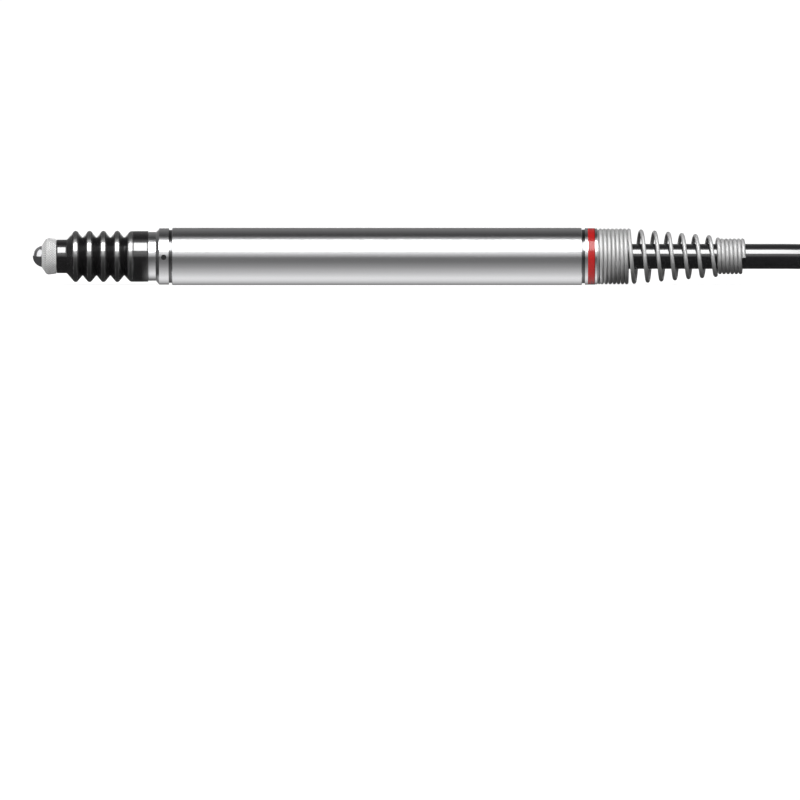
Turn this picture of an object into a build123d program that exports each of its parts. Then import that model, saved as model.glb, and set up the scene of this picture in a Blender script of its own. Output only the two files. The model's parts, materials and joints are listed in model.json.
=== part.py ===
from build123d import *
import math
import os

# A linear gauge probe: a ball tip on a sprung spindle, a rubber bellows, a ground 8 mm body and a cable
# that leaves the rear through a long strain-relief spring.
# Millimetres. The probe lies along X with its tip at the low end, and Z is up. The origin is on the axis,
# at the front end of the body tube. The spindle is fully out.

# Clearances
seat_gap = 0.02  # radial, between pieces that are pushed, glued or screwed together
ball_play = 0.01  # radial, between a ball and each of its tracks
pin_play = 0.05  # between the guide pin and its slot
stop_gap = 0.05  # between the guide pin and an end of its slot

# Body tube
body_dia = 8.0
body_length = 57.0
body_wall = 0.5
edge_break = 0.1

# Spindle and its travel
travel = 3.0
spindle_r = 1.5
neck_r = 1.9
spindle_behind_pin = 3.9
stud_r = 1.25
stud_length = 4.5

# Contact tip
ball_r = 1.5
ball_sunk = 0.22  # how far the ball's centre lies behind the holder's front edge
holder_length = 2.03
holder_r = 2.55
holder_back_r = 2.42
holder_rim_length = 1.1
holder_cone_length = 0.6
holder_front_wall = 0.06
holder_shoulder = 0.1

# Front bush
groove_length = 0.43
groove_depth = 0.3
ring_length = 1.8
ring_r = 3.935
ring_chamfer = 0.47
collar_length = 1.01
collar_r = 3.425
spigot_length = 2.36
spigot_r = 3.15
spigot_chamfer = 0.15
lip_length = 0.6
lip_play = 0.25
bush_tail_length = 11.5
spanner_hole_r = 0.375
spanner_hole_depth = 0.6
spanner_hole_from_rear = 0.67

# Bellows
fold_count = 4
fold_pitch = 1.93
crest_r = 3.575
crest_flat = 0.16
valley_r = 2.7
bellows_wall = 0.45  # measured along the radius, on slopes of about 45 degrees
cuff_wall = 0.37
rear_flare = 1.04
front_flare = 1.1
front_cuff_length = 1.57

# Ball bearing
race_wall = 0.45
race_recess = 0.6  # from the race's rear end to the bush's
bearing_ball_r = 0.39
ball_rows = 3
balls_in_row = 3
row_pitch = 3.2
cage_wall = 0.46
cage_end = 1.8
cage_from_race_end = 2.0
pocket_play = 0.04

# Guide sleeve and pin
sleeve_gap = 0.1
sleeve_bore_r = 1.9
slot_from_front = 1.0
pin_r = 0.5
pin_reach = 2.7

# Return spring and its seat
spring_length = 11.0
spring_coil_r = 1.45
spring_wire_r = 0.125
spring_turns = 7
spring_end_pitch = 0.3
seat_thickness = 1.5
seat_boss_length = 0.8
seat_boss_play = 0.1
seat_hole_play = 0.3

# Measuring system
rod_r = 0.45
rod_socket_depth = 2.4
rod_past_core = 0.3
core_r = 0.95
core_length = 8.0
bobbin_bore_r = 1.15
bobbin_wall = 0.3
flange_thickness = 0.5
flange_r = 3.0
primary_length = 6.0
winding_depth = 1.3
shield_wall = 0.25
shield_gap = 0.03
board_thickness = 0.8
terminal_count = 4
terminal_r = 0.25
terminal_circle_r = 2.2
terminal_length = 2.4
lead_room = 3.31  # from the terminal pins' ends to the cable
lead_r = 0.2
lead_circle_r = 1.0

# Rear end
plug_spigot_length = 3.0
seal_groove_front = 0.6
seal_groove_length = 1.2
seal_groove_depth = 0.48
rear_groove_length = 0.4
rear_groove_r = 3.75
land_length = 0.4
land_r = 3.95
red_ring_length = 1.0
red_ring_r = 3.94
stem_r = 2.6
stem_length = 3.8
flange_length = 0.5
holder_flange_r = 3.9
flange_cone = 0.2
boss_length = 4.1
cable_seal_length = 2.0
cable_seal_wall = 0.41
ferrule_length = 1.0
ferrule_wall = 0.5

# Strain-relief spring
relief_wire_r = 0.275
relief_big_r = 3.62
relief_taper_r = 2.62
relief_small_r = 2.225
relief_tight_pitch = 0.57
relief_open_pitch = 1.89
relief_big_turns = 7.0
relief_open_turns = 6.375
relief_neck_turns = 0.75
relief_small_turns = 6.0
relief_start_angle = 138.5
relief_points_per_turn = 16
return_points_per_turn = 10
wire_sides = 6

# Cable, its hank and its plug
cable_r = 1.75
cable_bare = 0.2  # how far the cable's jacket reaches in front of its ferrule
hank_front_x = 91.0
hank_run = 64.0
hank_fold_r = 12.0
hank_across = 2
hank_layers = 5
hank_edge = 1.2
tie_thickness = 0.5
tie_width = 6.0
tie_x = 152.0
plug_x = 102.0
plug_nose_r = 6.6
plug_nose_wall = 0.5
plug_nose_length = 16.0
plug_nose_shown = 11.0
plug_key_width = 2.0
plug_key_length = 7.0
plug_insert_length = 5.0
plug_insert_depth = 8.0
plug_pin_count = 5
plug_pin_r = 0.75
plug_pin_circle_r = 3.5
plug_pin_spread = 240.0
plug_pin_recess = 1.5
plug_pin_length = 13.0
grip_r = 7.5
grip_length = 21.0
grip_taper_length = 5.0
grip_rear_r = 5.2
grip_floor = 6.0
grip_grooves = 4
grip_groove_pitch = 2.6
grip_groove_width = 0.8
grip_groove_depth = 0.5
boot_length = 10.0
boot_stem_r = 3.0
boot_stem_length = 5.0
boot_front_r = 4.2
boot_rear_r = 2.6

# Stations and radii that follow from these
body_r = body_dia / 2
bore_r = body_r - body_wall
fitted_r = bore_r - seat_gap

ring_front_x = -(groove_length + ring_length)
collar_front_x = ring_front_x - collar_length
spigot_front_x = collar_front_x - spigot_length
last_valley_x = spigot_front_x - rear_flare
last_crest_x = last_valley_x - fold_pitch / 2
first_crest_x = last_crest_x - (fold_count - 1) * fold_pitch
front_cuff_x = first_crest_x - front_flare
holder_back_x = front_cuff_x - front_cuff_length
holder_front_x = holder_back_x - holder_length
ball_x = holder_front_x + ball_sunk

race_r = spindle_r + 2 * (bearing_ball_r + ball_play)
race_outer_r = race_r + race_wall
race_front_x = spigot_front_x + lip_length
race_rear_x = bush_tail_length - race_recess
ball_orbit_r = (spindle_r + race_r) / 2
cage_front_x = race_front_x + cage_from_race_end
cage_length = 2 * cage_end + (ball_rows - 1) * row_pitch

sleeve_front_x = bush_tail_length + sleeve_gap
slot_front_x = sleeve_front_x + slot_from_front
pin_x = slot_front_x + stop_gap + pin_r
slot_length = 2 * (pin_r + stop_gap) + travel
spindle_rear_x = pin_x + spindle_behind_pin
seat_front_x = spindle_rear_x + spring_length
seat_rear_x = seat_front_x + seat_thickness

land_x = body_length + rear_groove_length
red_ring_x = land_x + land_length
flange_x = red_ring_x + red_ring_length
boss_x = flange_x + flange_length
boss_rear_x = boss_x + boss_length
stem_front_x = flange_x - stem_length
plug_front_x = body_length - plug_spigot_length
cable_front_x = stem_front_x - ferrule_length - cable_bare
terminal_rear_x = cable_front_x - lead_room
board_front_x = terminal_rear_x - terminal_length

bobbin_front_x = seat_rear_x + seat_gap
bobbin_rear_x = board_front_x - seat_gap
bobbin_length = bobbin_rear_x - bobbin_front_x
bobbin_r = bobbin_bore_r + bobbin_wall
bobbin_mid_x = (bobbin_front_x + bobbin_rear_x) / 2
core_front_x = bobbin_mid_x - core_length / 2 - travel / 2
boss_r = relief_big_r * math.cos(math.pi / relief_points_per_turn) - relief_wire_r - 2 * seat_gap

floor_z = -body_r
cable_dia = 2 * cable_r
hank_thickness = hank_across * cable_dia
hank_outer_r = hank_fold_r - cable_r + hank_thickness
hank_inner_r = hank_fold_r - cable_r
hank_mid_x = hank_front_x + hank_outer_r + hank_run / 2
hank_y = hank_outer_r - cable_r
hank_base_z = floor_z + tie_thickness
hank_height = hank_layers * cable_dia
grip_x = plug_x + plug_nose_shown
grip_rear_x = grip_x + grip_length
plug_z = floor_z + grip_r
plug_axis = Axis((plug_x, hank_y, plug_z), (1, 0, 0))
cable_z = hank_base_z + cable_r

# Routes of the free cable, chosen by hand
cable_route = [(cable_front_x, 0, 0), (93.0, 0, 0), (108.25, 0, cable_z)]
tail_route = [
    (172.25, 27.5, -1.75),
    (165.2, 27.5, -1.6),
    (159.0, 24.4, -0.3),
    (154.8, 18.8, 2.0),
    (148.6, 15.5, 3.5),
    (141.6, 15.5, 3.5),
]


def band(front, rear, inner, outer):
    """Draw the section of a ring between two stations and two radii."""
    with Locations(((front + rear) / 2, (inner + outer) / 2)):
        Rectangle(rear - front, outer - inner)


def outline(*points):
    """Draw a closed section from its corners, each a station and a radius."""
    with BuildLine() as corners:
        Polyline(*points, close=True)
    make_face(corners.edges())


def radial_plane(station, angle):
    """A plane on the axis that faces outward at an angle about it."""
    turn = math.radians(angle)
    return Plane(origin=(station, 0, 0), x_dir=(1, 0, 0), z_dir=(0, math.cos(turn), math.sin(turn)))


def wound_wire(front, radius, start_angle, stretches, per_turn):
    """Points along a right-handed wire. Each stretch has its turns, its pitch and the radius it ends at."""
    points = []
    station = front
    angle = math.radians(start_angle)
    step = 2 * math.pi / per_turn
    for turns, pitch, end_radius in stretches:
        count = round(turns * per_turn)
        for k in range(count):
            here = radius + (end_radius - radius) * k / count
            points.append((station, here * math.cos(angle), here * math.sin(angle)))
            station += pitch / per_turn
            angle += step
        radius = end_radius
    points.append((station, radius * math.cos(angle), radius * math.sin(angle)))
    return points


def corner_radii(route):
    """The radius of each corner of a cable's route: 0.45 of its shorter run, over the tangent of half its turn."""
    radii = []
    for before, corner, after in zip(route, route[1:], route[2:]):
        arriving = Vector(*corner) - Vector(*before)
        leaving = Vector(*after) - Vector(*corner)
        half_turn = math.radians(arriving.get_angle(leaving)) / 2
        radii.append(0.45 * min(arriving.length, leaving.length) / math.tan(half_turn))
    return radii


# Body tube, ground outside and broken at both ends
with BuildPart() as body_tube:
    with BuildSketch(Plane.YZ):
        Circle(body_r)
        Circle(bore_r, mode=Mode.SUBTRACT)
    extrude(amount=body_length)
    outer_rims = body_tube.edges().filter_by(GeomType.CIRCLE).group_by(SortBy.RADIUS)[-1]
    chamfer(outer_rims, length=edge_break)
body_tube.part.label = "body_tube"

# Contact ball
with BuildPart() as contact_ball:
    with Locations((ball_x, 0, 0)):
        Sphere(ball_r)
contact_ball.part.label = "contact_ball"

# Tip holder: a knurled rim, a cone crimped over the ball, and a stud that screws into the spindle
socket_r = ball_r + ball_play
socket_mouth_r = math.sqrt(socket_r**2 - ball_sunk**2)
rim_front_x = holder_back_x - holder_rim_length
cone_back_x = holder_front_x + holder_cone_length
stud_rear_x = holder_back_x + stud_length
with BuildPart() as tip_holder:
    with BuildSketch(Plane.XZ):
        outline(
            (holder_front_x, 0),
            (holder_front_x, socket_mouth_r + holder_front_wall),
            (cone_back_x, holder_r - holder_shoulder),
            (rim_front_x, holder_r),
            (holder_back_x, holder_back_r),
            (holder_back_x, stud_r),
            (stud_rear_x - edge_break, stud_r),
            (stud_rear_x, stud_r - edge_break),
            (stud_rear_x, 0),
        )
    revolve(axis=Axis.X)
    with Locations((ball_x, 0, 0)):
        Sphere(socket_r, mode=Mode.SUBTRACT)
tip_holder.part.label = "tip_holder"

# Spindle: tapped at the front for the tip, drilled across for the guide pin and at the rear for the rod
with BuildPart() as plunger:
    with BuildSketch(Plane.XZ):
        band(holder_back_x, front_cuff_x, 0, neck_r)
        band(front_cuff_x, spindle_rear_x, 0, spindle_r)
    revolve(axis=Axis.X)
    with BuildSketch(Plane.YZ.offset(holder_back_x)):
        Circle(stud_r + seat_gap)
    extrude(amount=stud_length + stop_gap, mode=Mode.SUBTRACT)
    with BuildSketch(Plane.YZ.offset(spindle_rear_x)):
        Circle(rod_r + seat_gap)
    extrude(amount=-rod_socket_depth, mode=Mode.SUBTRACT)
    with BuildSketch(Plane.XY):
        with Locations((pin_x, 0)):
            Circle(pin_r + seat_gap)
    extrude(amount=spindle_r, both=True, mode=Mode.SUBTRACT)
plunger.part.label = "plunger"

# Bellows: an even wall folded between a cuff on the spindle's neck and a cuff on the bush's spigot
neck_cuff_r = neck_r + seat_gap
spigot_cuff_r = spigot_r + seat_gap
outside = [(holder_back_x, neck_cuff_r + cuff_wall), (front_cuff_x, neck_cuff_r + cuff_wall)]
inside = [(holder_back_x, neck_cuff_r), (front_cuff_x, neck_cuff_r)]
for fold in range(fold_count):
    crest_x = first_crest_x + fold * fold_pitch
    valley_x = crest_x + fold_pitch / 2
    outside += [(crest_x - crest_flat / 2, crest_r), (crest_x + crest_flat / 2, crest_r), (valley_x, valley_r)]
    inside += [(crest_x, crest_r - bellows_wall), (valley_x, valley_r - bellows_wall)]
outside += [(spigot_front_x, spigot_cuff_r + cuff_wall), (collar_front_x, spigot_cuff_r + cuff_wall)]
inside += [(spigot_front_x - spigot_chamfer, spigot_cuff_r), (collar_front_x, spigot_cuff_r)]
with BuildPart() as gaiter:
    with BuildSketch(Plane.XZ):
        outline(*outside, *reversed(inside))
    revolve(axis=Axis.X)
gaiter.part.label = "gaiter"

# Front bush: spigot, collar, chamfered ring and groove in front of the body, and a tail inside it
with BuildPart() as nose_bush:
    with BuildSketch(Plane.XZ):
        outline(
            (spigot_front_x, spindle_r + lip_play),
            (spigot_front_x, spigot_r - spigot_chamfer),
            (spigot_front_x + spigot_chamfer, spigot_r),
            (collar_front_x, spigot_r),
            (collar_front_x, collar_r),
            (ring_front_x, collar_r),
            (ring_front_x, ring_r - ring_chamfer),
            (ring_front_x + ring_chamfer, ring_r),
            (-groove_length, ring_r),
            (-groove_length, body_r - groove_depth),
            (0, body_r - groove_depth),
            (0, fitted_r),
            (bush_tail_length, fitted_r),
            (bush_tail_length, race_outer_r + seat_gap),
            (race_front_x, race_outer_r + seat_gap),
            (race_front_x, spindle_r + lip_play),
        )
    revolve(axis=Axis.X)
    for side in (1, -1):
        with BuildSketch(Plane.XZ.offset(side * ring_r)):
            with Locations((-groove_length - spanner_hole_from_rear, 0)):
                Circle(spanner_hole_r)
        extrude(amount=-side * spanner_hole_depth, mode=Mode.SUBTRACT)
nose_bush.part.label = "nose_bush"

# Linear ball bearing: race, cage and balls
with BuildPart() as bearing_race:
    with BuildSketch(Plane.XZ):
        band(race_front_x, race_rear_x, race_r, race_outer_r)
    revolve(axis=Axis.X)
bearing_race.part.label = "bearing_race"

pockets = [
    radial_plane(cage_front_x + cage_end + row * row_pitch, 360 * (k + row / 2) / balls_in_row)
    for row in range(ball_rows)
    for k in range(balls_in_row)
]
with BuildPart() as ball_cage:
    with BuildSketch(Plane.XZ):
        band(cage_front_x, cage_front_x + cage_length, ball_orbit_r - cage_wall / 2, ball_orbit_r + cage_wall / 2)
    revolve(axis=Axis.X)
    with BuildSketch(*pockets):
        Circle(bearing_ball_r + pocket_play)
    extrude(amount=race_r, mode=Mode.SUBTRACT)
ball_cage.part.label = "ball_cage"

with BuildPart() as bearing_balls:
    with Locations(*[pocket.offset(ball_orbit_r) for pocket in pockets]):
        Sphere(bearing_ball_r)
bearing_balls.part.label = "bearing_balls"

# Cross pin, and the slotted sleeve that guides and stops it
with BuildPart() as guide_pin:
    with BuildSketch(Plane.XY):
        with Locations((pin_x, 0)):
            Circle(pin_r)
    extrude(amount=pin_reach, both=True)
guide_pin.part.label = "guide_pin"

with BuildPart() as guide_sleeve:
    with BuildSketch(Plane.XZ):
        band(sleeve_front_x, seat_front_x, sleeve_bore_r, fitted_r)
    revolve(axis=Axis.X)
    with BuildSketch(Plane.XY):
        with Locations((slot_front_x + slot_length / 2, 0)):
            SlotOverall(slot_length, 2 * (pin_r + pin_play))
    extrude(amount=body_r, both=True, mode=Mode.SUBTRACT)
guide_sleeve.part.label = "guide_sleeve"

# Return spring between the spindle and its seat
spring_front_x = spindle_rear_x + seat_gap + spring_wire_r
spring_rear_x = seat_front_x - seat_gap - spring_wire_r
spring_pitch = (spring_rear_x - spring_front_x - 2 * spring_end_pitch) / spring_turns
return_wire = wound_wire(
    spring_front_x,
    spring_coil_r,
    0,
    [
        (1, spring_end_pitch, spring_coil_r),
        (spring_turns, spring_pitch, spring_coil_r),
        (1, spring_end_pitch, spring_coil_r),
    ],
    return_points_per_turn,
)
with BuildPart() as return_spring:
    with BuildLine() as return_path:
        Polyline(*return_wire)
    with BuildSketch(Plane(origin=return_path.line @ 0, z_dir=return_path.line % 0)):
        RegularPolygon(spring_wire_r, wire_sides)
    sweep(path=return_path.line, transition=Transition.RIGHT)
return_spring.part.label = "return_spring"

with BuildPart() as spring_seat:
    with BuildSketch(Plane.XZ):
        band(seat_front_x, seat_rear_x, rod_r + seat_hole_play, fitted_r)
        band(
            seat_front_x - seat_boss_length,
            seat_front_x,
            rod_r + seat_hole_play,
            spring_coil_r - spring_wire_r - seat_boss_play,
        )
    revolve(axis=Axis.X)
spring_seat.part.label = "spring_seat"

# Core and the rod that carries it
with BuildPart() as core_rod:
    with BuildSketch(Plane.XZ):
        band(spindle_rear_x - rod_socket_depth + stop_gap, core_front_x + core_length + rod_past_core, 0, rod_r)
    revolve(axis=Axis.X)
core_rod.part.label = "core_rod"

with BuildPart() as core:
    with BuildSketch(Plane.XZ):
        band(core_front_x, core_front_x + core_length, rod_r + seat_gap, core_r)
    revolve(axis=Axis.X)
core.part.label = "core"

# Bobbin with three chambers, and its windings
side_length = (bobbin_length - 4 * flange_thickness - primary_length) / 2
front_chamber_x = bobbin_front_x + flange_thickness
primary_x = front_chamber_x + side_length + flange_thickness
rear_chamber_x = primary_x + primary_length + flange_thickness
with BuildPart() as coil_bobbin:
    with BuildSketch(Plane.XZ):
        band(bobbin_front_x, bobbin_rear_x, bobbin_bore_r, bobbin_r)
        for chamber_x in (front_chamber_x, primary_x, rear_chamber_x):
            band(chamber_x - flange_thickness, chamber_x, bobbin_bore_r, flange_r)
        band(bobbin_rear_x - flange_thickness, bobbin_rear_x, bobbin_bore_r, flange_r)
    revolve(axis=Axis.X)
coil_bobbin.part.label = "coil_bobbin"


def winding(name, front, length):
    """A winding that fills one chamber of the bobbin."""
    with BuildPart() as wound:
        with BuildSketch(Plane.XZ):
            band(front + seat_gap, front + length - seat_gap, bobbin_r + seat_gap, bobbin_r + winding_depth)
        revolve(axis=Axis.X)
    wound.part.label = name
    return wound


front_secondary = winding("front_secondary", front_chamber_x, side_length)
primary_winding = winding("primary_winding", primary_x, primary_length)
rear_secondary = winding("rear_secondary", rear_chamber_x, side_length)

with BuildPart() as magnetic_shield:
    with BuildSketch(Plane.XZ):
        band(bobbin_front_x, bobbin_rear_x, flange_r + shield_gap, flange_r + shield_gap + shield_wall)
    revolve(axis=Axis.X)
magnetic_shield.part.label = "magnetic_shield"

# Terminal board, its pins and the leads to the cable
with BuildPart() as terminal_board:
    with BuildSketch(Plane.YZ.offset(board_front_x)):
        Circle(fitted_r)
        Circle(bobbin_bore_r, mode=Mode.SUBTRACT)
        with PolarLocations(terminal_circle_r, terminal_count):
            Circle(terminal_r + seat_gap, mode=Mode.SUBTRACT)
    extrude(amount=board_thickness)
terminal_board.part.label = "terminal_board"

with BuildPart() as terminal_pins:
    with BuildSketch(Plane.YZ.offset(board_front_x)):
        with PolarLocations(terminal_circle_r, terminal_count):
            Circle(terminal_r)
    extrude(amount=terminal_length)
terminal_pins.part.label = "terminal_pins"

with BuildPart() as lead_wires:
    for k in range(terminal_count):
        turn = math.radians(360 * k / terminal_count)
        spread = Vector(0, math.cos(turn), math.sin(turn))
        lead_start = Vector(terminal_rear_x + seat_gap, 0, 0) + spread * terminal_circle_r
        lead_end = Vector(cable_front_x - lead_r, 0, 0) + spread * lead_circle_r
        with BuildLine() as lead_path:
            Line(lead_start, lead_end)
        with BuildSketch(Plane(origin=lead_start, z_dir=lead_end - lead_start)):
            Circle(lead_r)
        sweep(path=lead_path.line)
lead_wires.part.label = "lead_wires"

# Rear plug: a spigot with a seal groove inside the body, and the groove and land behind it
with BuildPart() as rear_plug:
    with BuildSketch(Plane.XZ):
        band(plug_front_x, body_length, stem_r + seat_gap, fitted_r)
        band(body_length, land_x, stem_r + seat_gap, rear_groove_r)
        band(land_x, red_ring_x, stem_r + seat_gap, land_r)
    revolve(axis=Axis.X)
    seal_x = plug_front_x + seal_groove_front
    with BuildSketch(Plane.XZ):
        band(seal_x, seal_x + seal_groove_length, fitted_r - seal_groove_depth, fitted_r)
    revolve(axis=Axis.X, mode=Mode.SUBTRACT)
rear_plug.part.label = "rear_plug"

with BuildPart() as rear_seal:
    with BuildSketch(Plane.XZ):
        band(
            seal_x + seat_gap,
            seal_x + seal_groove_length - seat_gap,
            fitted_r - seal_groove_depth + seat_gap,
            fitted_r,
        )
    revolve(axis=Axis.X)
rear_seal.part.label = "rear_seal"

with BuildPart() as red_ring:
    with BuildSketch(Plane.XZ):
        band(red_ring_x, flange_x, stem_r + seat_gap, red_ring_r)
    revolve(axis=Axis.X)
red_ring.part.label = "red_ring"

# Spring holder: a stem that clamps the red ring, a flange, and the boss inside the spring's wide end
cable_bore_r = cable_r + seat_gap
seal_seat_r = cable_bore_r + cable_seal_wall + seat_gap
with BuildPart() as spring_holder:
    with BuildSketch(Plane.XZ):
        outline(
            (stem_front_x, seal_seat_r),
            (stem_front_x, stem_r),
            (flange_x, stem_r),
            (flange_x, holder_flange_r),
            (boss_x - flange_cone, holder_flange_r),
            (boss_x, holder_flange_r - flange_cone),
            (boss_x, boss_r),
            (boss_rear_x, boss_r),
            (boss_rear_x, cable_bore_r),
            (stem_front_x + cable_seal_length, cable_bore_r),
            (stem_front_x + cable_seal_length, seal_seat_r),
        )
    revolve(axis=Axis.X)
spring_holder.part.label = "spring_holder"

with BuildPart() as cable_seal:
    with BuildSketch(Plane.XZ):
        band(
            stem_front_x + seat_gap,
            stem_front_x + cable_seal_length - seat_gap,
            cable_bore_r,
            cable_bore_r + cable_seal_wall,
        )
    revolve(axis=Axis.X)
cable_seal.part.label = "cable_seal"

with BuildPart() as cable_ferrule:
    with BuildSketch(Plane.XZ):
        band(stem_front_x - ferrule_length, stem_front_x, cable_bore_r, cable_bore_r + ferrule_wall)
    revolve(axis=Axis.X)
cable_ferrule.part.label = "cable_ferrule"

# Strain-relief spring: close-wound on the boss, open and tapering, and close-wound round the cable
relief_wire = wound_wire(
    boss_x + relief_wire_r + seat_gap,
    relief_big_r,
    relief_start_angle,
    [
        (relief_big_turns, relief_tight_pitch, relief_big_r),
        (relief_open_turns, relief_open_pitch, relief_taper_r),
        (relief_neck_turns, relief_tight_pitch, relief_small_r),
        (relief_small_turns, relief_tight_pitch, relief_small_r),
    ],
    relief_points_per_turn,
)
with BuildPart() as strain_relief_spring:
    with BuildLine() as relief_path:
        Polyline(*relief_wire)
    with BuildSketch(Plane(origin=relief_path.line @ 0, z_dir=relief_path.line % 0)):
        RegularPolygon(relief_wire_r, wire_sides)
    sweep(path=relief_path.line, transition=Transition.RIGHT)
strain_relief_spring.part.label = "strain_relief_spring"


def cable_tube(name, route):
    """A stretch of free cable along straight runs joined by tangent arcs."""
    radii = corner_radii(route)
    print(name, "corner radii", [round(radius, 1) for radius in radii])
    with BuildPart() as tube:
        with BuildLine() as path:
            FilletPolyline(*route, radius=radii)
        with BuildSketch(Plane(origin=path.line @ 0, z_dir=path.line % 0)):
            Circle(cable_r)
        sweep(path=path.line)
    tube.part.label = name
    return tube


cable = cable_tube("cable", cable_route)
cable_tail = cable_tube("cable_tail", tail_route)

# The put-away cable: long turns, side by side and in layers, round a free middle
with BuildPart() as cable_hank:
    with BuildSketch(Plane.XY.offset(hank_base_z)):
        with Locations((hank_mid_x, hank_y)):
            SlotCenterToCenter(hank_run, 2 * hank_outer_r)
            SlotCenterToCenter(hank_run, 2 * hank_inner_r, mode=Mode.SUBTRACT)
    extrude(amount=hank_height)
    chamfer(cable_hank.faces().filter_by(Axis.Z).edges(), length=hank_edge)
cable_hank.part.label = "cable_hank"

with BuildPart() as hank_tie:
    with BuildSketch(Plane.YZ.offset(tie_x)):
        with Locations((hank_y, hank_base_z + hank_height / 2)):
            tie_inner_width = 2 * (hank_outer_r + seat_gap)
            tie_outer_width = tie_inner_width + 2 * tie_thickness
            RectangleRounded(tie_outer_width, hank_height + 2 * tie_thickness, hank_edge + tie_thickness)
            RectangleRounded(tie_inner_width, hank_height, hank_edge, mode=Mode.SUBTRACT)
    extrude(amount=tie_width)
hank_tie.part.label = "hank_tie"

# Round plug with five pins. Its pieces are turned about the plug's own axis
plug_plane = Plane(origin=(0, hank_y, plug_z), x_dir=(1, 0, 0), z_dir=(0, -1, 0))
plug_face = Plane(origin=(plug_x, hank_y, plug_z), x_dir=(0, 1, 0), z_dir=(1, 0, 0))
with BuildPart() as plug_nose:
    with BuildSketch(plug_plane):
        band(plug_x, plug_x + plug_nose_length, plug_nose_r - plug_nose_wall, plug_nose_r)
    revolve(axis=plug_axis)
    with BuildSketch(Plane.XY.offset(plug_z + plug_nose_r)):
        with Locations((plug_x, hank_y)):
            Rectangle(2 * plug_key_length, plug_key_width)
    extrude(amount=-2 * plug_nose_wall, mode=Mode.SUBTRACT)
plug_nose.part.label = "plug_nose"

pin_spots = PolarLocations(
    plug_pin_circle_r,
    plug_pin_count,
    start_angle=90 - plug_pin_spread / 2,
    angular_range=plug_pin_spread,
    endpoint=True,
)
with BuildPart() as plug_insert:
    with BuildSketch(plug_face.offset(plug_insert_depth)):
        Circle(plug_nose_r - plug_nose_wall - seat_gap)
        with pin_spots:
            Circle(plug_pin_r + seat_gap, mode=Mode.SUBTRACT)
    extrude(amount=plug_insert_length)
plug_insert.part.label = "plug_insert"

with BuildPart() as plug_pins:
    with BuildSketch(plug_face.offset(plug_pin_recess)):
        with pin_spots:
            Circle(plug_pin_r)
    extrude(amount=plug_pin_length)
plug_pins.part.label = "plug_pins"

with BuildPart() as plug_grip:
    with BuildSketch(plug_plane):
        taper_x = grip_rear_x - grip_taper_length
        floor_x = grip_rear_x - grip_floor
        outline(
            (grip_x, plug_nose_r + seat_gap),
            (grip_x, grip_r),
            (taper_x, grip_r),
            (grip_rear_x, grip_rear_r),
            (grip_rear_x, boot_stem_r + seat_gap),
            (floor_x, boot_stem_r + seat_gap),
            (floor_x, plug_nose_r + seat_gap),
        )
        for k in range(grip_grooves):
            groove_x = taper_x - (k + 1) * grip_groove_pitch
            with Locations((groove_x, grip_r)):
                Rectangle(grip_groove_width, 2 * grip_groove_depth, mode=Mode.SUBTRACT)
    revolve(axis=plug_axis)
plug_grip.part.label = "plug_grip"

with BuildPart() as plug_boot:
    with BuildSketch(plug_plane):
        outline(
            (grip_rear_x - boot_stem_length, cable_bore_r),
            (grip_rear_x - boot_stem_length, boot_stem_r),
            (grip_rear_x, boot_stem_r),
            (grip_rear_x, boot_front_r),
            (grip_rear_x + boot_length, boot_rear_r),
            (grip_rear_x + boot_length, cable_bore_r),
        )
    revolve(axis=plug_axis)
plug_boot.part.label = "plug_boot"

pieces = [
    body_tube,
    contact_ball,
    tip_holder,
    plunger,
    gaiter,
    nose_bush,
    bearing_race,
    ball_cage,
    bearing_balls,
    guide_pin,
    guide_sleeve,
    return_spring,
    spring_seat,
    core_rod,
    core,
    coil_bobbin,
    front_secondary,
    primary_winding,
    rear_secondary,
    magnetic_shield,
    terminal_board,
    terminal_pins,
    lead_wires,
    rear_plug,
    rear_seal,
    red_ring,
    spring_holder,
    cable_seal,
    cable_ferrule,
    strain_relief_spring,
    cable,
    cable_tail,
    cable_hank,
    hank_tie,
    plug_nose,
    plug_insert,
    plug_pins,
    plug_grip,
    plug_boot,
]

os.makedirs("parts", exist_ok=True)
for piece in pieces:
    export_step(piece.part, f"parts/{piece.part.label}.step")
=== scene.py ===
"""Looks of a linear gauge probe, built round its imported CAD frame."""

import json
import math

import bmesh
import bpy
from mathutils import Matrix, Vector


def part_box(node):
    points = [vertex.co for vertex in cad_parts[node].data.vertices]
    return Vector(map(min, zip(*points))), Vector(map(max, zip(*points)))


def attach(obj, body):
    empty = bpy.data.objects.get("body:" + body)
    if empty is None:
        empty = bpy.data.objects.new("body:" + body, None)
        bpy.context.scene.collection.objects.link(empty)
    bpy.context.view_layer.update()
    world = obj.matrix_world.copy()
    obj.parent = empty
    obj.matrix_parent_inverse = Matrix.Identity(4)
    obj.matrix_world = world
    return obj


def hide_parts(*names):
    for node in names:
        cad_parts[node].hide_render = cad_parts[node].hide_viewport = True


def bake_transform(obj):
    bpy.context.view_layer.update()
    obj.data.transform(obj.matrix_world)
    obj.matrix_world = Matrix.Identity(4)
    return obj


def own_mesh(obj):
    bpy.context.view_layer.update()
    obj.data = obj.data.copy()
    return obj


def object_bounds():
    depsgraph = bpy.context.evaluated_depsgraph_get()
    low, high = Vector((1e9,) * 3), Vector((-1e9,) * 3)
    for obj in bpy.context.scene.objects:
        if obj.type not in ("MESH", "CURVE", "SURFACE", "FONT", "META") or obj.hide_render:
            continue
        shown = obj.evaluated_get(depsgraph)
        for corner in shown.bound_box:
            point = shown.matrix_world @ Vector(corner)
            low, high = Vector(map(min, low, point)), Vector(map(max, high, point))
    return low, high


bl_info = {
    "name": "Linear gauge probe",
    "version": (1, 0, 0),
    "blender": (4, 5, 0),
    "location": "3D View > Sidebar > Gauge probe",
    "description": "Dresses the gauge probe's CAD frame and sets its studio",
    "category": "Object",
}

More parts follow.
